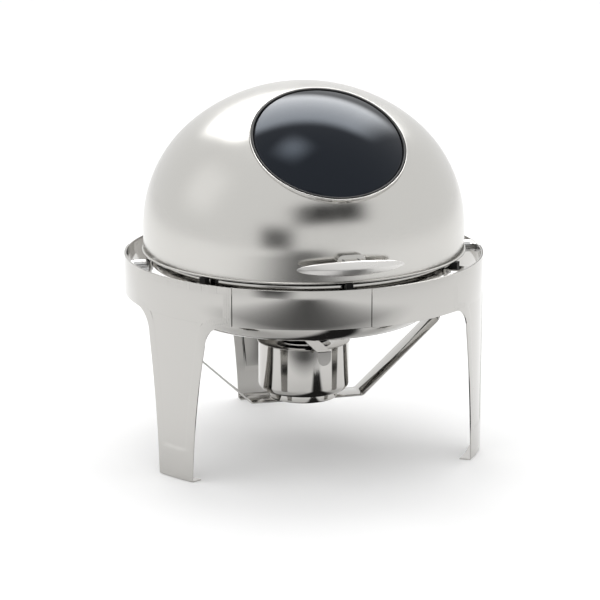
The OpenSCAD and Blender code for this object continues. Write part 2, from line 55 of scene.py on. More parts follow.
# %% Main sizes
mm = 0.001
joint = {j["name"]: j for j in frame["joints"]}
pivot_z = joint["lid_roll"]["pos_m"][2]
hoop_low, hoop_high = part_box("ring_hoop")
ring_low, ring_top = hoop_low[2], hoop_high[2]
skin_t = 1.4 * mm
hoop_t = 1.3 * mm
skin_in = hoop_high[0]
ring_r = skin_in + skin_t
hoop_in = skin_in - hoop_t
crown_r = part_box("dome_shell")[1][2] - pivot_z
side_gap, rim_gap = 20.3 * mm, 2.6 * mm
skirt_r = hoop_in - side_gap
shoulder_x = 33 * mm
shoulder_r = skirt_r - shoulder_x
shoulder_z = pivot_z + math.sqrt((crown_r - shoulder_r) ** 2 - shoulder_x ** 2)
crown_a = math.atan2(shoulder_z - pivot_z, shoulder_x)
rim_z = ring_top + rim_gap
lid_t = 1 * mm
tuck = 0.02 * mm  # keeps a visible face just inside the CAD's
print("ring radius", round(ring_r, 4), "lid radius", round(crown_r, 4), "pivot height", pivot_z)

# %% [markdown]
# A turned piece starts from its outline in the XZ plane. A plane is added and merged to a single
# vertex, the vertex is extruded along the outline, and the outline is spun about the Z axis. This
# is how a lathe thinks, and it gives clean rings of quads that shade well on shiny metal. Corners
# of an outline are rounded first, because real sheet metal never has a perfectly sharp bend.

# %% Outline helpers
def rounded(corners, closed=False, steps=6):
    """Points along a path whose corners (x, z, radius) are rounded by arcs."""
    points = []
    count = len(corners)
    for i, (x, z, radius) in enumerate(corners):
        here = Vector((x, z))
        inner = closed or 0 < i < count - 1
        if not inner or radius <= 0:
            points.append(here)
            continue
        before = (Vector(corners[i - 1][:2]) - here).normalized()
        after = (Vector(corners[(i + 1) % count][:2]) - here).normalized()
        half = before.angle(after) / 2
        if half > math.pi / 2 - 0.01:
            points.append(here)
            continue
        reach = radius / math.tan(half)
        centre = here + (before + after).normalized() * radius / math.sin(half)
        start = here + before * reach - centre
        turn = (here + after * reach - centre).angle_signed(start)
        for k in range(steps + 1):
            spoke = start.copy()
            spoke.rotate(Matrix.Rotation(turn * k / steps, 2))
            points.append(centre + spoke)
    return points


def sheet(path, thickness, cap=3):
    """A closed outline around a path, half the thickness to each side, with round ends."""
    sides = []
    for sign in (1, -1):
        side = []
        for i, p in enumerate(path):
            d1 = (p - path[max(i - 1, 0)])
            d2 = (path[min(i + 1, len(path) - 1)] - p)
            d1 = d1.normalized() if d1.length > 0 else d2.normalized()
            d2 = d2.normalized() if d2.length > 0 else d1
            mid = (d1 + d2).normalized()
            normal = Vector((-mid.y, mid.x))
            side.append(p + normal * sign * thickness / 2 / max(mid.dot(d1), 0.5))
        sides.append(side)
    outline = list(sides[0])
    for end, turned in ((path[-1], -1), (path[0], -1)):
        start = outline[-1] - end
        for k in range(1, cap):
            spoke = start.copy()
            spoke.rotate(Matrix.Rotation(turned * math.pi * k / cap, 2))
            outline.append(end + spoke)
        if end is path[-1]:
            outline.extend(reversed(sides[1]))
    return outline


def select_only(piece):
    """Selects one piece and makes it the active one."""
    bpy.ops.object.select_all(action="DESELECT")
    piece.select_set(True)
    bpy.context.view_layer.objects.active = piece


def join_to(piece, other):
    """Joins another object into a piece."""
    select_only(piece)
    other.select_set(True)
    bpy.ops.object.join()


def thicken(piece, thickness, offset):
    """Gives a surface the thickness of its sheet: offset -1 is inwards, 0 to both sides."""
    solid = piece.modifiers.new("thickness", "SOLIDIFY")
    solid.thickness = thickness
    solid.offset = offset
    bpy.ops.object.modifier_apply(modifier=solid.name)


def even_normals(piece, flip=False):
    """Makes the normals of an open surface agree, or turns them all round."""
    bpy.ops.object.mode_set(mode="EDIT")
    bpy.ops.mesh.select_all(action="SELECT")
    if flip:
        bpy.ops.mesh.flip_normals()
    else:
        bpy.ops.mesh.normals_make_consistent(inside=False)
    bpy.ops.object.mode_set(mode="OBJECT")


def smooth(piece, degrees=32):
    """Smooth shading that keeps edges sharper than the angle."""
    select_only(piece)
    bpy.ops.object.shade_smooth_by_angle(angle=math.radians(degrees))


def trace(name, points, closed):
    """A mesh of edges through 3D points, left in edit mode with everything selected."""
    bpy.ops.object.select_all(action="DESELECT")
    bpy.ops.mesh.primitive_plane_add(size=0.01)
    piece = bpy.context.object
    piece.name = piece.data.name = name
    bpy.ops.object.mode_set(mode="EDIT")
    bpy.ops.mesh.select_mode(type="VERT")
    bpy.ops.mesh.select_all(action="SELECT")
    bpy.ops.mesh.merge(type="CENTER")
    bpy.ops.transform.translate(value=points[0])
    stops = list(points) + ([points[0]] if closed else [])
    for a, b in zip(stops, stops[1:]):
        bpy.ops.mesh.extrude_vertices_move(TRANSFORM_OT_translate={"value": b - a})
    bpy.ops.mesh.select_all(action="SELECT")
    bpy.ops.mesh.remove_doubles(threshold=1e-6)
    return piece


def close_up(piece, degrees=32):
    """Merge doubles, turn the normals outwards, and leave edit mode."""
    bpy.ops.mesh.select_all(action="SELECT")
    bpy.ops.mesh.remove_doubles(threshold=1e-6)
    bpy.ops.mesh.dissolve_degenerate(threshold=1e-7)
    bpy.ops.mesh.select_all(action="SELECT")
    bpy.ops.mesh.normals_make_consistent(inside=False)
    bpy.ops.object.mode_set(mode="OBJECT")
    smooth(piece, degrees)


def lathe(name, outline, closed=True, steps=160, degrees=32):
    """An outline of (x, z) points spun once around the Z axis."""
    piece = trace(name, [Vector((p[0], 0, p[1])) for p in outline], closed)
    bpy.ops.mesh.spin(steps=steps, angle=2 * math.pi, center=(0, 0, 0), axis=(0, 0, 1))
    close_up(piece, degrees)
    return piece


def place(piece, matrix):
    """Moves a piece by a matrix and applies it, so that its object stays at the origin."""
    select_only(piece)
    piece.matrix_world = matrix
    bpy.ops.object.transform_apply(location=True, rotation=True, scale=True)


def around(degrees):
    """A turn about Z, counted from the front, positive towards the right."""
    return Matrix.Rotation(math.radians(degrees), 4, "Z")


def finish_piece(piece, body, slot, *nodes):
    """Ties a piece to its body, finish and the CAD nodes that it stands for."""
    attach(piece, body)
    if nodes:
        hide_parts(*nodes)
    pieces[slot].append(piece)
    print(piece.name, len(piece.data.polygons), "faces")


pieces = {m["slot"]: [] for m in frame["record"]["materials"]}

# %% [markdown]
# The ring is a plain hoop with thin polished skins around it. The hoop is a narrow upright strip,
# so its outline is a tall thin rectangle with rounded corners, spun all the way round. Its upper
# edge is what catches the light behind the lid.

# %% Ring hoop
def strip_outline(r0, r1, z0, z1, radius):
    return rounded([(r0, z0, radius), (r1, z0, radius), (r1, z1, radius), (r0, z1, radius)],
                   closed=True, steps=3)


hoop = lathe("hoop", strip_outline(hoop_in, skin_in, ring_low, ring_top, 0.4 * mm), steps=224)
finish_piece(hoop, "stand", "mirror_steel", "ring_hoop")

# %% [markdown]
# Three bands cover the hoop between the legs. A band is the same kind of outline, but spun only
# part of the way. The spin leaves both ends open, so each end loop is found as an open border and
# filled with a face. The same band is built again and turned to each of the three places.

# %% Bands
head_a = 21.8
seam_a = math.degrees(math.asin(0.4 * mm / ring_r))
band_a = 60 - head_a - seam_a


def band(name, centre):
    start = Matrix.Rotation(math.radians(-90 - band_a), 4, "Z")
    section = strip_outline(skin_in + tuck, ring_r, ring_low, ring_top, 0.45 * mm)
    piece = trace(name, [start @ Vector((p[0], 0, p[1])) for p in section], True)
    bpy.ops.mesh.spin(steps=96, angle=math.radians(2 * band_a), center=(0, 0, 0), axis=(0, 0, 1))
    bpy.ops.mesh.select_all(action="DESELECT")
    bpy.ops.mesh.select_non_manifold(extend=False, use_wire=False, use_boundary=True,
                                     use_multi_face=False, use_non_contiguous=False,
                                     use_verts=False)
    bpy.ops.mesh.fill()
    close_up(piece)
    place(piece, around(centre))
    return piece


for name, centre in (("front", 0), ("left", -120), ("right", 120)):
    finish_piece(band("skin_" + name, centre), "stand", "mirror_steel", "band_" + name)

# %% [markdown]
# A leg is one pressed sheet: a wide head that follows the ring, a waisted shank, and a foot turned
# in at the bottom. It starts as a grid, whose rows become stations from the foot up to the head.
# Each row knows its height and its half width, and the grid is bent onto the ring's cylinder by
# moving its vertices. The pressed panel is a shallow step whose edge follows the leg's outline:
# the distance from each vertex to the panel's outline decides how far it is pushed in. Solidify
# then gives the sheet its thickness.

# %% Leg stations
foot_w2, knee_w2, knee_r = 28 * mm, 46.5 * mm, 29 * mm
foot_in, foot_bend = 14 * mm, 2.2 * mm
knee_z = ring_low - knee_r
press_gap, press_edge, press_t, press_slope = 12 * mm, 10 * mm, 0.6 * mm, 2.4 * mm
panel_low, flat_low, rim_least = 38 * mm, 30 * mm, 4 * mm
head_x = skin_in * math.sin(math.radians(head_a - seam_a))


def shank_w2(z):
    t = z / knee_z
    return foot_w2 + (knee_w2 - foot_w2) * (0.3 * t + 0.7 * t * t)


def leg_half(z):
    """Half width of the leg at a height."""
    if z <= knee_z:
        return shank_w2(max(z, 0))
    if z < ring_low:
        return knee_w2 + knee_r * (1 - math.sqrt(1 - ((z - knee_z) / knee_r) ** 2))
    return head_x


def panel_half(z):
    """Half width of the pressed panel at a height."""
    if z <= knee_z:
        return shank_w2(max(z, 0)) - press_gap
    tall = knee_r + press_edge
    if z < knee_z + tall:
        drop = math.sqrt(1 - ((z - knee_z) / tall) ** 2)
        return knee_w2 + knee_r * (1 - drop) - press_gap
    return head_x - press_edge


def leg_rows():
    """Stations up the leg: distance in from the ring's face, height, half width."""
    rows = [(foot_in - (foot_in - foot_bend) * k / 6, 0, foot_w2) for k in range(6)]
    for k in range(7):
        a = math.pi / 2 * k / 6
        rows.append((foot_bend * (1 - math.sin(a)), foot_bend * (1 - math.cos(a)), foot_w2))
    heights = list(np.linspace(foot_bend, knee_z, 92)[1:])
    heights += [knee_z + knee_r * math.sin(math.pi / 2 * k / 34) for k in range(1, 35)]
    heights += [ring_low + tuck]
    heights += list(np.linspace(ring_low, ring_top, 56)[1:])
    rows += [(0, z, leg_half(z)) for z in heights]
    return rows


rows = leg_rows()
print(len(rows), "rows in a leg")

# %% Leg sheet
def leg_sheet(name):
    inner, edge, outer = 26, 10, 12
    stops = ([k / inner for k in range(inner)], [k / edge for k in range(edge)],
             [k / outer for k in range(outer + 1)])

    def across(half, panel):
        lip = press_slope * 1.2
        xs = [(panel - lip) * k for k in stops[0]]
        xs += [panel - lip + 2 * lip * k for k in stops[1]]
        xs += [panel + lip + (half - panel - lip) * k for k in stops[2]]
        return [-x for x in reversed(xs[1:])] + xs

    columns = 2 * (inner + edge + outer) + 1
    bpy.ops.object.select_all(action="DESELECT")
    bpy.ops.mesh.primitive_grid_add(x_subdivisions=columns - 1, y_subdivisions=len(rows) - 1,
                                    size=1)
    piece = bpy.context.object
    piece.name = piece.data.name = name
    order = sorted(range(len(piece.data.vertices)),
                   key=lambda i: (round(piece.data.vertices[i].co.y, 6),
                                  round(piece.data.vertices[i].co.x, 6)))
    outline = [(panel_half(z), z) for z in np.linspace(panel_low, ring_top - press_edge, 150)]
    outline = [(-x, z) for x, z in reversed(outline)] + outline
    line_a = np.array(outline + [outline[0]])
    for j, (deep, z, half) in enumerate(rows):
        xs = across(half, min(panel_half(z), half - rim_least))
        for i, x in enumerate(xs):
            inside = abs(x) < panel_half(z) and panel_low < z < ring_top - press_edge
            p = np.array((x, z))
            if deep > 0 or z < flat_low:
                push = 0
            else:
                seg = line_a[1:] - line_a[:-1]
                t = np.clip(((p - line_a[:-1]) * seg).sum(1) / np.maximum((seg ** 2).sum(1), 1e-12),
                            0, 1)
                away = np.sqrt((((line_a[:-1] + seg * t[:, None]) - p) ** 2).sum(1).min())
                s = min(max(0.5 + (away if inside else -away) / press_slope, 0), 1)
                push = press_t * s * s * (3 - 2 * s)
            radius = ring_r - deep - push
            piece.data.vertices[order[j * columns + i]].co = (
                x, -math.sqrt(radius * radius - x * x), z)
    piece.data.update()
    even_normals(piece)
    middle = min(piece.data.polygons, key=lambda f: (f.center - Vector((0, -ring_r, 0.15))).length)
    if middle.normal.y > 0:
        even_normals(piece, flip=True)
    thicken(piece, skin_t - tuck, -1)
    smooth(piece, 40)
    return piece


first_leg = leg_sheet("pressed_leg_left")
for side in ("right", "back"):
    leg = first_leg.copy()
    leg.data = first_leg.data.copy()
    leg.name = leg.data.name = "pressed_leg_" + side
    bpy.context.scene.collection.objects.link(leg)
for side, centre in (("left", -60), ("right", 60), ("back", 180)):
    leg = bpy.data.objects["pressed_leg_" + side]
    place(leg, around(centre))
    finish_piece(leg, "stand", "mirror_steel", "leg_" + side)

# %% [markdown]
# The pans hang in a light frame: a short upright wall with a flange turned in at its foot. Frame
# and pans are folded or drawn sheet, so each outline is a path down the middle of the sheet, given
# its thickness on both sides. The water pan is deep with a generous bottom curve, and the food pan
# sits inside it on its own flat rim.

# %% Pan frame and pans
strip_t, pan_t = 1.5 * mm, 1 * mm
frame_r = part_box("pan_frame")[1][0]
frame_low, frame_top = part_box("pan_frame")[0][2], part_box("pan_frame")[1][2]
flange_w, water_gap, food_gap = 14 * mm, 19.5 * mm, 26.5 * mm
flange_in = frame_r - flange_w
path = rounded([(flange_in, frame_low + strip_t / 2, 0),
                (frame_r - strip_t / 2, frame_low + strip_t / 2, 1.6 * mm),
                (frame_r - strip_t / 2, frame_top, 0)])
carrier = lathe("pan_carrier", sheet(path, strip_t - 2 * tuck), steps=192)
finish_piece(carrier, "stand", "mirror_steel", "pan_frame")


def pan(name, node, wall, corner):
    low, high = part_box(node)
    edge = high[0]
    path = rounded([(0, low[2] + pan_t / 2, 0),
                    (wall - pan_t / 2, low[2] + pan_t / 2, corner - pan_t / 2),
                    (wall - pan_t / 2, high[2] - pan_t / 2, 2.2 * mm),
                    (edge - 0.5 * mm, high[2] - pan_t / 2, 0)], steps=14)
    half = pan_t / 2
    body = sheet(path, pan_t)
    body = [p if p.x > half else Vector((0, p.y)) for p in body]
    top = [p for p in body if p.x == 0]
    start = body.index(top[0])
    loop = body[start:] + body[:start]
    while len(loop) > 1 and loop[0].x == 0 and loop[1].x == 0:
        loop.pop(0)
    return lathe(name, [loop[0]] + [p for p in loop[1:] if p.x > 0] + [Vector((0, low[2] + (
        0 if loop[0].y > low[2] + half else pan_t)))], closed=False, steps=176)


water = pan("water_bath", "water_pan", frame_r - water_gap, 34 * mm)
finish_piece(water, "water_pan", "mirror_steel", "water_pan")
food = pan("food_well", "food_pan", frame_r - food_gap, 20 * mm)
finish_piece(food, "food_pan", "satin_steel", "food_pan")

# %% [markdown]
# The burner hangs on a folded strap. The path of the strap is rounded at its folds, traced as
# edges, and extruded sideways into a ribbon. Solidify makes it sheet, and a small bevel breaks
# its edges so that they pick up a thin bright line.

# %% Burner strap
def bevel_edges(piece, width, segments=2, degrees=40):
    """Bevels every edge sharper than an angle, and applies it."""
    select_only(piece)
    soften = piece.modifiers.new("soften", "BEVEL")
    soften.width = width
    soften.segments = segments
    soften.limit_method = "ANGLE"
    soften.angle_limit = math.radians(degrees)
    bpy.ops.object.modifier_apply(modifier=soften.name)


strap_w = 38 * mm
plate_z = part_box("fuel_hanger")[0][2]
knee_x = flange_in - 1 * mm - strip_t / 2
lid_reach = skirt_r - 3 * mm
mid_z = plate_z + strip_t / 2
fold_x = math.sqrt(lid_reach ** 2 - (pivot_z - plate_z) ** 2 - (strap_w / 2) ** 2)
knee_up = pivot_z - math.sqrt(lid_reach ** 2 - (knee_x + strip_t) ** 2 - (strap_w / 2) ** 2)
hook_z = frame_low + strip_t * 1.5
half_path = [(fold_x, mid_z, 7 * mm), (knee_x, knee_up, 12 * mm), (knee_x, hook_z, 1.6 * mm),
             (flange_in + 7 * mm, hook_z, 0)]
corners = [(-x, z, r) for x, z, r in reversed(half_path)] + half_path
strap = trace("burner_strap", [Vector((p.x, -strap_w / 2, p.y)) for p in rounded(corners, steps=8)],
              False)
bpy.ops.mesh.extrude_region_move(TRANSFORM_OT_translate={"value": (0, strap_w, 0)})
bpy.ops.mesh.select_all(action="SELECT")
bpy.ops.mesh.normals_make_consistent(inside=False)
bpy.ops.object.mode_set(mode="OBJECT")
thicken(strap, strip_t - 2 * tuck, 0)
bevel_edges(strap, 0.35 * mm)
smooth(strap)
finish_piece(strap, "stand", "mirror_steel", "fuel_hanger")

# %% [markdown]
# The fuel cup is a drawn pot with a round bottom edge and a cover that overhangs it by a hair.
# The cover's outer edge is rolled, which shows as a thin bright ring around its top. Both are
# turned from sheet outlines. Under the cup sits a low dish that lifts it off the strap.

# %% Cup and cover
cup_low, cup_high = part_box("fuel_cup")
cup_r, cup_t = cup_high[0], 1.2 * mm
cup_z, cup_top = cup_low[2], cup_high[2]
outer = [Vector((0, cup_z))] + [p for p in rounded(
    [(0, cup_z, 0), (cup_r, cup_z, 9 * mm), (cup_r, cup_top - 0.1 * mm, 0.4 * mm),
     (cup_r - cup_t, cup_top - 0.1 * mm, 0.4 * mm), (cup_r - cup_t, cup_z + cup_t, 7.8 * mm),
     (0, cup_z + cup_t, 0)], steps=10)[1:]]
cup = lathe("burner_cup", outer, closed=False, steps=128)
finish_piece(cup, "stand", "mirror_steel", "fuel_cup")

cover_t, flame_r, cover_round = 1.2 * mm, 30 * mm, 0.59 * mm
cover_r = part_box("cup_cover")[1][0]
cover = lathe("burner_cover", rounded(
    [(flame_r, cup_top, 0.5 * mm), (cover_r, cup_top, cover_round),
     (cover_r, cup_top + cover_t, cover_round), (flame_r, cup_top + cover_t, 0.5 * mm)],
    closed=True, steps=5), steps=128)
finish_piece(cover, "stand", "mirror_steel", "cup_cover")

base_low, base_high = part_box("cup_base")
base_r, bolt_r = base_high[0], 3.2 * mm
dish = lathe("burner_dish", [Vector((bolt_r, base_low[2]))] + rounded(
    [(bolt_r, base_low[2], 0), (base_r, base_low[2], 1.6 * mm), (base_r, base_high[2], 0.5 * mm),
     (base_r - cup_t, base_high[2], 0.5 * mm), (base_r - cup_t, base_low[2] + cup_t, 0.6 * mm),
     (bolt_r, base_low[2] + cup_t, 0)], steps=5)[1:], closed=True, steps=112)
finish_piece(dish, "stand", "mirror_steel", "cup_base")

# %% [markdown]
# The damper is a round plate that swings over the flame hole, with a lever whose end is turned
# down as a finger tab. Its outline is traced from above, filled with one face and extruded by the
# sheet's thickness. The tab is a second small plate in the upright plane, joined to the first.

# %% Damper
damper_low, damper_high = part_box("damper")
damper_t = 1 * mm
damper_top = damper_high[2]
damper_r = damper_high[0]
lever_half = 8.5 * mm
tip_y = damper_low[1]
turn0 = math.asin(lever_half / damper_r)
rim = []
for k in range(97):
    a = turn0 + (2 * math.pi - 2 * turn0) * k / 96
    rim.append(Vector((damper_r * math.sin(a), -damper_r * math.cos(a))))
plan = rim + [Vector((-lever_half, tip_y)), Vector((lever_half, tip_y))]


def plate(name, points, depth):
    """A flat outline of 3D points, filled and extruded by a depth vector."""
    piece = trace(name, points, True)
    bpy.ops.mesh.edge_face_add()
    bpy.ops.mesh.extrude_region_move(TRANSFORM_OT_translate={"value": depth})
    close_up(piece)
    return piece


damper = plate("damper_plate", [Vector((p.x, p.y, damper_top - damper_t)) for p in plan],
               (0, 0, damper_t))
drop_z = damper_low[2] + lever_half
tab = [Vector((lever_half, tip_y, damper_top)), Vector((-lever_half, tip_y, damper_top))]
tab += [Vector((-lever_half * math.cos(math.pi * k / 16), tip_y,
                drop_z - lever_half * math.sin(math.pi * k / 16))) for k in range(17)]
tab_piece = plate("damper_tab", tab, (0, damper_t, 0))
for one in (damper, tab_piece):
    bevel_edges(one, 0.3 * mm)
join_to(damper, tab_piece)
smooth(damper)
finish_piece(damper, "damper", "mirror_steel", "damper")

# %% [markdown]
# The lid is the main surface. From the side it is made of three tangent parts: a short upright
# skirt, a tighter shoulder, and a large round crown about the hinge line, which is what lets the
# lid roll inside the ring. The round window is cut into it at a slant. Instead of cutting a hole
# into a finished dome, the window's circle and the rim's circle are bridged, the bridge is cut
# into many bands, and every vertex is pushed out onto the lid's surface. All edges then flow
# from the window to the rim, and the reflections stay smooth around the hole.

# %% Lid surface
win_el = math.radians(55.7)
win_r = 93.3 * mm
rim_rise = math.sqrt(crown_r ** 2 - win_r ** 2)
window_matrix = Matrix.Translation((0, 0, pivot_z)) @ Matrix.Rotation(math.pi / 2 - win_el, 4, "X")
skirt_low = rim_z + 0.8 * mm


def on_lid(direction, inward=0):
    """The point of the lid's surface in a direction from the pivot."""
    flat, up = math.hypot(direction.x, direction.y), direction.z
    length = math.hypot(flat, up)
    flat, up = flat / length, up / length
    lift = math.atan2(up, flat)
    high = shoulder_z - pivot_z
    if lift >= crown_a:
        reach = crown_r
    elif lift <= math.atan2(high, skirt_r):
        reach = skirt_r / flat
    else:
        b = shoulder_x * flat + high * up
        reach = b + math.sqrt(b * b - shoulder_x ** 2 - high ** 2 + shoulder_r ** 2)
    return Vector((0, 0, pivot_z)) + direction.normalized() * (reach - inward)


sides = 216
bpy.ops.object.select_all(action="DESELECT")
bpy.ops.mesh.primitive_circle_add(vertices=sides, radius=win_r)
lid = bpy.context.object
lid.name = lid.data.name = "lid_dome"
place(lid, window_matrix @ Matrix.Translation((0, 0, rim_rise)))
bpy.ops.mesh.primitive_circle_add(vertices=sides, radius=skirt_r, location=(0, 0, skirt_low))
rim_circle = bpy.context.object
place(rim_circle, rim_circle.matrix_world.copy())
join_to(lid, rim_circle)
bpy.ops.object.mode_set(mode="EDIT")
bpy.ops.mesh.select_all(action="SELECT")
bpy.ops.mesh.bridge_edge_loops(number_cuts=96, interpolation="LINEAR")
bpy.ops.object.mode_set(mode="OBJECT")
for v in lid.data.vertices:
    v.co = on_lid(v.co - Vector((0, 0, pivot_z)))
even_normals(lid)
back = min(lid.data.polygons, key=lambda f: (f.center - Vector((0, skirt_r, shoulder_z))).length)
if back.normal.y < 0:
    even_normals(lid, flip=True)
thicken(lid, lid_t, -1)
bead_out, bead_r = 0.4 * mm, 1.2 * mm
turns = [2 * math.pi * k / 20 for k in range(20)]
bead = lathe("lid_bead", [Vector((skirt_r + bead_out + bead_r * math.cos(a),
                                  rim_z + bead_r + bead_r * math.sin(a))) for a in turns],
             steps=sides)
join_to(lid, bead)
smooth(lid, 35)
finish_piece(lid, "lid", "satin_steel", "dome_shell")

# %% [markdown]
# The window is a stack of turned rings: a thin bright lip of steel, a black rubber gasket with a
# round top, and a slightly domed glass with a ground edge. Each is turned about Z, then tipped
# into the window's slanting frame in one move.

# %% Window
trim_r, trim_w, trim_up, trim_deep = 93.05 * mm, 1.6 * mm, 1.6 * mm, 8 * mm
gasket_r = trim_r - trim_w - 0.05 * mm
glass_r = gasket_r - 3.2 * mm
glass_curve, glass_t = 190 * mm, 4 * mm
gasket_top = rim_rise + 2.2 * mm
glass_edge = gasket_top - 0.8 * mm
glass_z = glass_edge - math.sqrt(glass_curve ** 2 - glass_r ** 2)

trim = lathe("window_lip", rounded(
    [(trim_r - trim_w, rim_rise - trim_deep, 0.3 * mm), (trim_r, rim_rise - trim_deep, 0.3 * mm),
     (trim_r, rim_rise + trim_up, 0.75 * mm), (trim_r - trim_w, rim_rise + trim_up, 0.75 * mm)],
    closed=True, steps=5), steps=192)
place(trim, window_matrix)
finish_piece(trim, "lid", "mirror_steel", "window_trim")

seal_w, seal_t = 3.8 * mm, 3.2 * mm
ledge_z = glass_z + math.sqrt((glass_curve - glass_t) ** 2 - glass_r ** 2)
gasket = lathe("window_seal", rounded(
    [(glass_r - seal_w, ledge_z - seal_t, 0.3 * mm), (gasket_r, ledge_z - seal_t, 0.3 * mm),
     (gasket_r, gasket_top, 1.4 * mm), (glass_r + 0.05 * mm, gasket_top, 1.4 * mm),
     (glass_r + 0.05 * mm, ledge_z - 0.2 * mm, 0), (glass_r - seal_w, ledge_z - 0.2 * mm, 0)],
    closed=True, steps=5), steps=192)
place(gasket, window_matrix)
finish_piece(gasket, "lid", "black_rubber", "window_gasket")


def cap(radius, reach, steps):
    """Points of a shallow dome from its top down to a reach from the axis."""
    end = math.asin(reach / radius)
    return [Vector((radius * math.sin(end * k / steps), glass_z + radius * math.cos(
        end * k / steps))) for k in range(steps + 1)]


upper = cap(glass_curve, glass_r - 2.2 * mm, 40)
lower = cap(glass_curve - glass_t, glass_r - 0.8 * mm, 40)
edge_high = Vector((glass_r - 0.15 * mm, upper[-1].y - 2 * mm))
edge_low = Vector((glass_r - 0.15 * mm, lower[-1].y + 0.6 * mm))
glass = lathe("window_pane", upper + [edge_high, edge_low] + list(reversed(lower)), closed=False,
              steps=192, degrees=12)
place(glass, window_matrix)
finish_piece(glass, "lid", "smoked_glass", "window_glass")

# %% [markdown]
# The handle is a bowed bar with pointed ends, like a long thin leaf. Its front has a soft ridge at
# mid height, so the upper half reflects the ceiling and the lower half reflects the table. The bar
# is built from stations: at each one a section is scaled to the bar's height and depth there, and
# neighbouring sections are bridged.

# %% Handle bar
bar_low, bar_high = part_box("handle_bar")
bar_half, bar_d = bar_high[0], 12.5 * mm
bar_z = (bar_low[2] + bar_high[2]) / 2
bar_h2 = (bar_high[2] - bar_low[2]) / 2
bar_y = -bar_low[1]
tip_out = bar_y - 15 * mm
section = rounded([(1.0, 0, 0.16), (0.60, 0.86, 0.10), (0.42, 1.0, 0.12), (0.0, 0.80, 0.2),
                   (0.0, -0.80, 0.2), (0.42, -1.0, 0.12), (0.60, -0.86, 0.10)],
                  closed=True, steps=4)


def bar_stop(t):
    """Front and back of the bar and its half height, t from -1 to 1 along it."""
    sag_out = (bar_y - tip_out) * t * t
    front = bar_y - sag_out
    rear = bar_y - bar_d - (bar_y - bar_d - tip_out) * t * t
    return front, rear, bar_h2 * math.sqrt(max(1 - abs(t) ** 1.75, 0))


stations = [math.sin(math.pi / 2 * k / 36) for k in range(-36, 37)]
bpy.ops.object.select_all(action="DESELECT")
bpy.ops.mesh.primitive_grid_add(x_subdivisions=len(stations) - 1, y_subdivisions=len(section),
                                size=1)
bar = bpy.context.object
bar.name = bar.data.name = "grip_bar"
order = sorted(range(len(bar.data.vertices)),
               key=lambda i: (round(bar.data.vertices[i].co.x, 6),
                              round(bar.data.vertices[i].co.y, 6)))
count = len(section) + 1
for i, t in enumerate(stations):
    front, rear, tall = bar_stop(t)
    for k in range(count):
        s = section[k % len(section)]
        bar.data.vertices[order[i * count + k]].co = (
            bar_half * t, -(rear + (front - rear) * s.x), bar_z + tall * s.y)
bpy.ops.object.mode_set(mode="EDIT")
close_up(bar, 28)
finish_piece(bar, "lid", "satin_steel", "handle_bar")

# %% [markdown]
# A short pill shaped post holds the bar off the lid. Its outline is two half circles, filled and
# extruded from inside the skirt to the back of the bar.

# %% Handle post
post_low, post_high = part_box("handle_post")
post_w2, post_r = post_high[0], (post_high[2] - post_low[2]) / 2
post_z = (post_low[2] + post_high[2]) / 2
post_sink = 4 * mm
pill = []
for side in (1, -1):
    for k in range(17):
        a = math.pi * k / 16 - math.pi / 2
        pill.append(Vector((side * (post_w2 - post_r + post_r * math.cos(a)), -skirt_r + post_sink,
                            post_z + side * post_r * math.sin(a))))
post = plate("grip_post", pill, (0, post_low[1] + tuck + skirt_r - post_sink, 0))
smooth(post)
finish_piece(post, "lid", "satin_steel", "handle_post")

# %% [markdown]
# Every surface needs a finish, and polished steel is the hard one: it has almost no colour of its
# own, so its look comes from how blurred its reflections are, from tiny ripples in the sheet, and
# from faint smears left by wiping. Each steel is one Principled shader with a metallic of one.
# Noise in object space varies the roughness a little, and a second noise, stretched along the
# direction in which the sheet was worked, drives a very small bump.

# %% Material helpers
def new_material(name, color, metallic, roughness, **sockets):
    material = bpy.data.materials.new(name)
    material.use_nodes = True
    shader = material.node_tree.nodes["Principled BSDF"]
    shader.inputs["Base Color"].default_value = (*color, 1)
    shader.inputs["Metallic"].default_value = metallic
    shader.inputs["Roughness"].default_value = roughness
    for socket, value in sockets.items():
        shader.inputs[socket.replace("_", " ")].default_value = value
    return material


def node(material, kind, **values):
    made = material.node_tree.nodes.new(kind)
    for key, value in values.items():
        if key in made.inputs:
            made.inputs[key].default_value = value
        else:
            setattr(made, key, value)
    return made


def link(material, source, target):
    material.node_tree.links.new(source, target)


def ramp(material, source, low, high, inside=(0.0, 1.0)):
    """Maps a noise value onto a range of plain numbers."""
    made = node(material, "ShaderNodeMapRange")
    made.inputs["From Min"].default_value = inside[0]
    made.inputs["From Max"].default_value = inside[1]
    made.inputs["To Min"].default_value = low
    made.inputs["To Max"].default_value = high
    link(material, source, made.inputs["Value"])
    return made.outputs["Result"]


def noise(material, vector, scale, detail=3, roughness=0.5):
    made = node(material, "ShaderNodeTexNoise", Scale=scale, Detail=detail, Roughness=roughness)
    link(material, vector, made.inputs["Vector"])
    return made.outputs["Fac"]


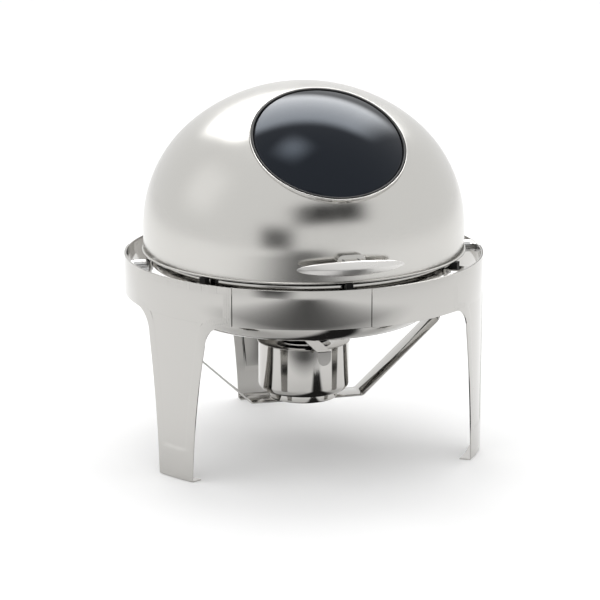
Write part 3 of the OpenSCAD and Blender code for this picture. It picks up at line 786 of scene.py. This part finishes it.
def spun_vector(material, stretch):
    """Object coordinates turned into (radius, height, a little of everything) for lathe marks."""
    coords = node(material, "ShaderNodeTexCoord")
    split = node(material, "ShaderNodeSeparateXYZ")
    link(material, coords.outputs["Object"], split.inputs["Vector"])
    flat = node(material, "ShaderNodeCombineXYZ")
    link(material, split.outputs["X"], flat.inputs["X"])
    link(material, split.outputs["Y"], flat.inputs["Y"])
    radius = node(material, "ShaderNodeVectorMath", operation="LENGTH")
    link(material, flat.outputs["Vector"], radius.inputs[0])
    ring = node(material, "ShaderNodeCombineXYZ")
    link(material, radius.outputs["Value"], ring.inputs["X"])
    link(material, split.outputs["Z"], ring.inputs["Y"])
    drift = node(material, "ShaderNodeVectorMath", operation="SCALE")
    link(material, coords.outputs["Object"], drift.inputs[0])
    drift.inputs["Scale"].default_value = stretch
    both = node(material, "ShaderNodeVectorMath", operation="ADD")
    link(material, ring.outputs["Vector"], both.inputs[0])
    link(material, drift.outputs["Vector"], both.inputs[1])
    return coords.outputs["Object"], both.outputs["Vector"]


def bump(material, heights):
    """Chains bumps: each entry is a height output, a strength and a distance in metres."""
    shader = material.node_tree.nodes["Principled BSDF"]
    last = None
    for height, strength, distance in heights:
        made = node(material, "ShaderNodeBump", Strength=strength, Distance=distance)
        link(material, height, made.inputs["Height"])
        if last:
            link(material, last, made.inputs["Normal"])
        last = made.outputs["Normal"]
    link(material, last, shader.inputs["Normal"])


def steel(name, color, rough, spread, brush, ripple, stretch=0.012, **sockets):
    """A stainless finish: wiping smears in the roughness, brush marks and ripples in the bump."""
    material = new_material(name, color, 1.0, rough, **sockets)
    shader = material.node_tree.nodes["Principled BSDF"]
    coords, spun = spun_vector(material, stretch)
    smear = noise(material, coords, 16, detail=4, roughness=0.6)
    link(material, ramp(material, smear, rough - spread, rough + spread, (0.3, 0.7)),
         shader.inputs["Roughness"])
    marks = noise(material, spun, 1400, detail=2, roughness=0.7)
    waves = noise(material, coords, 9, detail=1)
    bump(material, [(waves, 1.0, ripple), (marks, 1.0, brush)])
    return material


# %% [markdown]
# The finishes: a mirror polish for the pressed skins and the cup, a softer satin for the spun lid
# and the post, a lighter and rougher copy of the satin for the grip, whose higher base colour paints
# the bright light on the handle, plating for the small fasteners, black rubber, nylon and a
# near-black glass, whose dark colour paints the shade inside the closed lid. The satin lid is also
# anisotropic, because its fine marks all run in circles and so stretch every highlight into a
# streak from the top of the dome to its rim.

# %% Finishes
mirror_steel = steel("mirror_steel", (0.53, 0.52, 0.50), 0.085, 0.03, 0.0000012, 0.0003)
satin_steel = steel("satin_steel", (0.60, 0.59, 0.565), 0.20, 0.03, 0.000002, 0.0004,
                    Anisotropic=0.3)
spin_lines = node(satin_steel, "ShaderNodeTangent", direction_type="RADIAL", axis="Z")
link(satin_steel, spin_lines.outputs["Tangent"],
     satin_steel.node_tree.nodes["Principled BSDF"].inputs["Tangent"])
# A lighter copy of the satin steel for the handle: its higher base colour paints the bright light on the handle.
grip_steel_painted_light = steel("grip_steel_painted_light", (0.72, 0.71, 0.69), 0.30, 0.04, 0.000002, 0.0004)
plated_steel = steel("plated_steel", (0.60, 0.60, 0.60), 0.17, 0.05, 0.000002, 0.0002)

black_rubber = new_material("black_rubber", (0.006, 0.006, 0.006), 0.0, 0.42,
                            Specular_IOR_Level=0.4)
where = node(black_rubber, "ShaderNodeTexCoord").outputs["Object"]
link(black_rubber, ramp(black_rubber, noise(black_rubber, where, 60), 0.34, 0.52),
     black_rubber.node_tree.nodes["Principled BSDF"].inputs["Roughness"])
bump(black_rubber, [(noise(black_rubber, where, 1500), 0.4, 0.00002)])

nylon = new_material("nylon", (0.78, 0.76, 0.70), 0.0, 0.42, Subsurface_Weight=0.05)
where = node(nylon, "ShaderNodeTexCoord").outputs["Object"]
link(nylon, ramp(nylon, noise(nylon, where, 90), 0.36, 0.5),
     nylon.node_tree.nodes["Principled BSDF"].inputs["Roughness"])
bump(nylon, [(noise(nylon, where, 900), 0.3, 0.00003)])

# The near-black base colour is painted shade: the window is clear glass, and its dark colour stands in for the
# shaded inside of the closed lid seen through it.
smoked_glass = new_material("smoked_glass", (0.006, 0.007, 0.012), 0.0, 0.03, IOR=1.44,
                            Transmission_Weight=0.6, Specular_IOR_Level=0.2,
                            Specular_Tint=(0.72, 0.84, 1, 1))
where = node(smoked_glass, "ShaderNodeTexCoord").outputs["Object"]
link(smoked_glass, ramp(smoked_glass, noise(smoked_glass, where, 14, detail=4), 0.015, 0.07,
                        (0.35, 0.7)),
     smoked_glass.node_tree.nodes["Principled BSDF"].inputs["Roughness"])
bump(smoked_glass, [(noise(smoked_glass, where, 7, detail=1), 1.0, 0.0006)])

finishes = {"mirror_steel": mirror_steel, "satin_steel": satin_steel, "plated_steel": plated_steel,
            "smoked_glass": smoked_glass, "black_rubber": black_rubber, "nylon": nylon}


def dress(piece, material):
    """Gives a whole piece one material."""
    piece.data.materials.clear()
    piece.data.materials.append(material)


for slot, made in pieces.items():
    for piece in made:
        dress(piece, finishes[slot])
# The handle gets the lighter steel, which paints its bright look.
dress(bar, grip_steel_painted_light)
slot_of = {s["node"]: s["material_slot"] for s in frame["record"]["subparts"]}
for name, cad in frame["nodes"].items():
    if cad.material_slots:
        for i in range(len(cad.material_slots)):
            cad.material_slots[i].material = finishes[slot_of[name]]
    else:
        cad.data.materials.append(finishes[slot_of[name]])
print("finishes", sorted(finishes))

# %% [markdown]
# Studio light for chrome is mostly about what the metal sees. The room is white, with a big soft
# light above and behind and a weaker one at the left. What the metal mirrors is set apart from
# that, with soft edged cards: a bright one behind for the top of the lid and the glass, one
# overhead for the blurred spot in the glass, and dark ones in front, where the ring, the cup and
# the lid show their dark bands. The cards are seen only in reflections and throw no shadow.

# %% Floor and lights
bpy.ops.mesh.primitive_grid_add(x_subdivisions=2, y_subdivisions=2, size=40)
floor = bpy.context.object
floor.name = floor.data.name = "studio_floor"
floor_finish = new_material("studio_floor", (0.93, 0.93, 0.93), 0.0, 0.7,
                            Specular_IOR_Level=0.1, Emission_Color=(1, 1, 1, 1),
                            Emission_Strength=0.08)
where = node(floor_finish, "ShaderNodeTexCoord").outputs["Object"]
bump(floor_finish, [(noise(floor_finish, where, 400), 0.05, 0.0002)])
dress(floor, floor_finish)

world = bpy.data.worlds.new("studio")
bpy.context.scene.world = world
world.use_nodes = True
sky = world.node_tree.nodes["Background"]
sky.inputs["Color"].default_value = (1, 1, 1, 1)
sky.inputs["Strength"].default_value = 0.95

camera_at = Vector((-0.93858, -3.36691, 1.02884))
camera_aim = Vector((-0.0046, 0, 0.178))
view_az = math.atan2(camera_at.x - camera_aim.x, -(camera_at.y - camera_aim.y))


def direction(azimuth, elevation):
    """A unit vector from the object, azimuth in degrees counted from the camera to the right."""
    a, e = view_az + math.radians(azimuth), math.radians(elevation)
    return Vector((math.sin(a) * math.cos(e), -math.cos(a) * math.cos(e), math.sin(e)))


def softbox(name, azimuth, elevation, distance, width, height, radiance):
    """An area light that lights the scene but isn't itself mirrored."""
    data = bpy.data.lights.new(name, "AREA")
    data.shape = "RECTANGLE"
    data.size, data.size_y = width, height
    data.energy = radiance * 4 * width * height
    light = bpy.data.objects.new(name, data)
    bpy.context.scene.collection.objects.link(light)
    spot = direction(azimuth, elevation) * distance + middle
    light.location = spot
    light.rotation_euler = (middle - spot).to_track_quat("-Z", "Y").to_euler()
    light.visible_glossy = False
    return light


def card(name, spot, turn, width, height, tone, fade):
    """A soft edged card that only reflections see; fade is how fast its edges come in."""
    bpy.ops.object.select_all(action="DESELECT")
    bpy.ops.mesh.primitive_grid_add(x_subdivisions=24, y_subdivisions=24, size=1)
    made = bpy.context.object
    made.name = made.data.name = name
    edge = made.data.attributes.new("edge", "FLOAT", "POINT")
    for i, v in enumerate(made.data.vertices):
        a = min((0.5 - abs(v.co.x)) * 2 * fade[0], 1)
        b = min((0.5 - abs(v.co.y)) * 2 * fade[1], 1)
        edge.data[i].value = a * a * (3 - 2 * a) * b * b * (3 - 2 * b)
    place(made, Matrix.Translation(spot) @ turn @ Matrix.Diagonal((width, height, 1, 1)))
    made.visible_camera = made.visible_diffuse = made.visible_shadow = False
    made.visible_transmission = False
    finish = bpy.data.materials.new(name)
    finish.use_nodes = True
    finish.node_tree.nodes.clear()
    out = node(finish, "ShaderNodeOutputMaterial")
    glow = node(finish, "ShaderNodeEmission", Color=(1, 1, 1, 1), Strength=tone)
    clear = node(finish, "ShaderNodeBsdfTransparent")
    mix = node(finish, "ShaderNodeMixShader")
    link(finish, node(finish, "ShaderNodeAttribute", attribute_name="edge").outputs["Fac"],
         mix.inputs["Fac"])
    link(finish, clear.outputs["BSDF"], mix.inputs[1])
    link(finish, glow.outputs["Emission"], mix.inputs[2])
    link(finish, mix.outputs["Shader"], out.inputs["Surface"])
    dress(made, finish)
    return made


def hung_card(name, azimuth, elevation, distance, width, height, tone, fade):
    spot = direction(azimuth, elevation) * distance + middle
    turn = (middle - spot).to_track_quat("Z", "Y").to_matrix().to_4x4()
    return card(name, spot, turn, width, height, tone, (fade, fade))


def floor_card(name, azimuth, distance, width, depth, tone, fade):
    flat = direction(azimuth, 0) * distance
    return card(name, Vector((flat.x, flat.y, 0.004)), Matrix.Rotation(
        view_az + math.radians(azimuth), 4, "Z"), width, depth, tone, fade)


middle = Vector((0, 0, 0.25))
softbox("top_light", 180, 60, 3.2, 3.0, 2.0, 1.2)
softbox("left_light", -70, 35, 3.0, 1.5, 1.5, 0.6)
hung_card("bright_back", 180, 55, 4.0, 6.0, 3.4, 7.0, 2.0)
hung_card("bright_over", -45, 79, 3.0, 1.5, 1.5, 5.0, 1.0)
hung_card("bright_left", -85, 28, 3.0, 2.6, 2.6, 1.15, 1.2)
hung_card("dark_high", 20, 25, 4.4, 5.6, 1.9, 0.02, 1.6)
hung_card("dark_low", -18, 4, 3.0, 1.9, 1.7, 0.10, 1.2)
floor_card("dark_front", 2, 1.75, 2.0, 2.8, 0.12, (1.0, 6))
floor_card("dark_near", 31, 0.18, 0.15, 0.56, 0.02, (2, 4))

# %% [markdown]
# The camera stands a good three and a half metres away with a long lens, slightly left of the
# front and a little above, so the object is seen almost without perspective.

# %% Camera
lens = bpy.data.cameras.new("camera")
lens.lens = 178.4
lens.sensor_width = 36
lens.clip_end = 100
camera = bpy.data.objects.new("camera", lens)
bpy.context.scene.collection.objects.link(camera)
camera.location = camera_at
camera.rotation_euler = (camera_aim - camera_at).to_track_quat("-Z", "Y").to_euler()
bpy.context.scene.camera = camera
bpy.context.scene.view_settings.view_transform = "Standard"
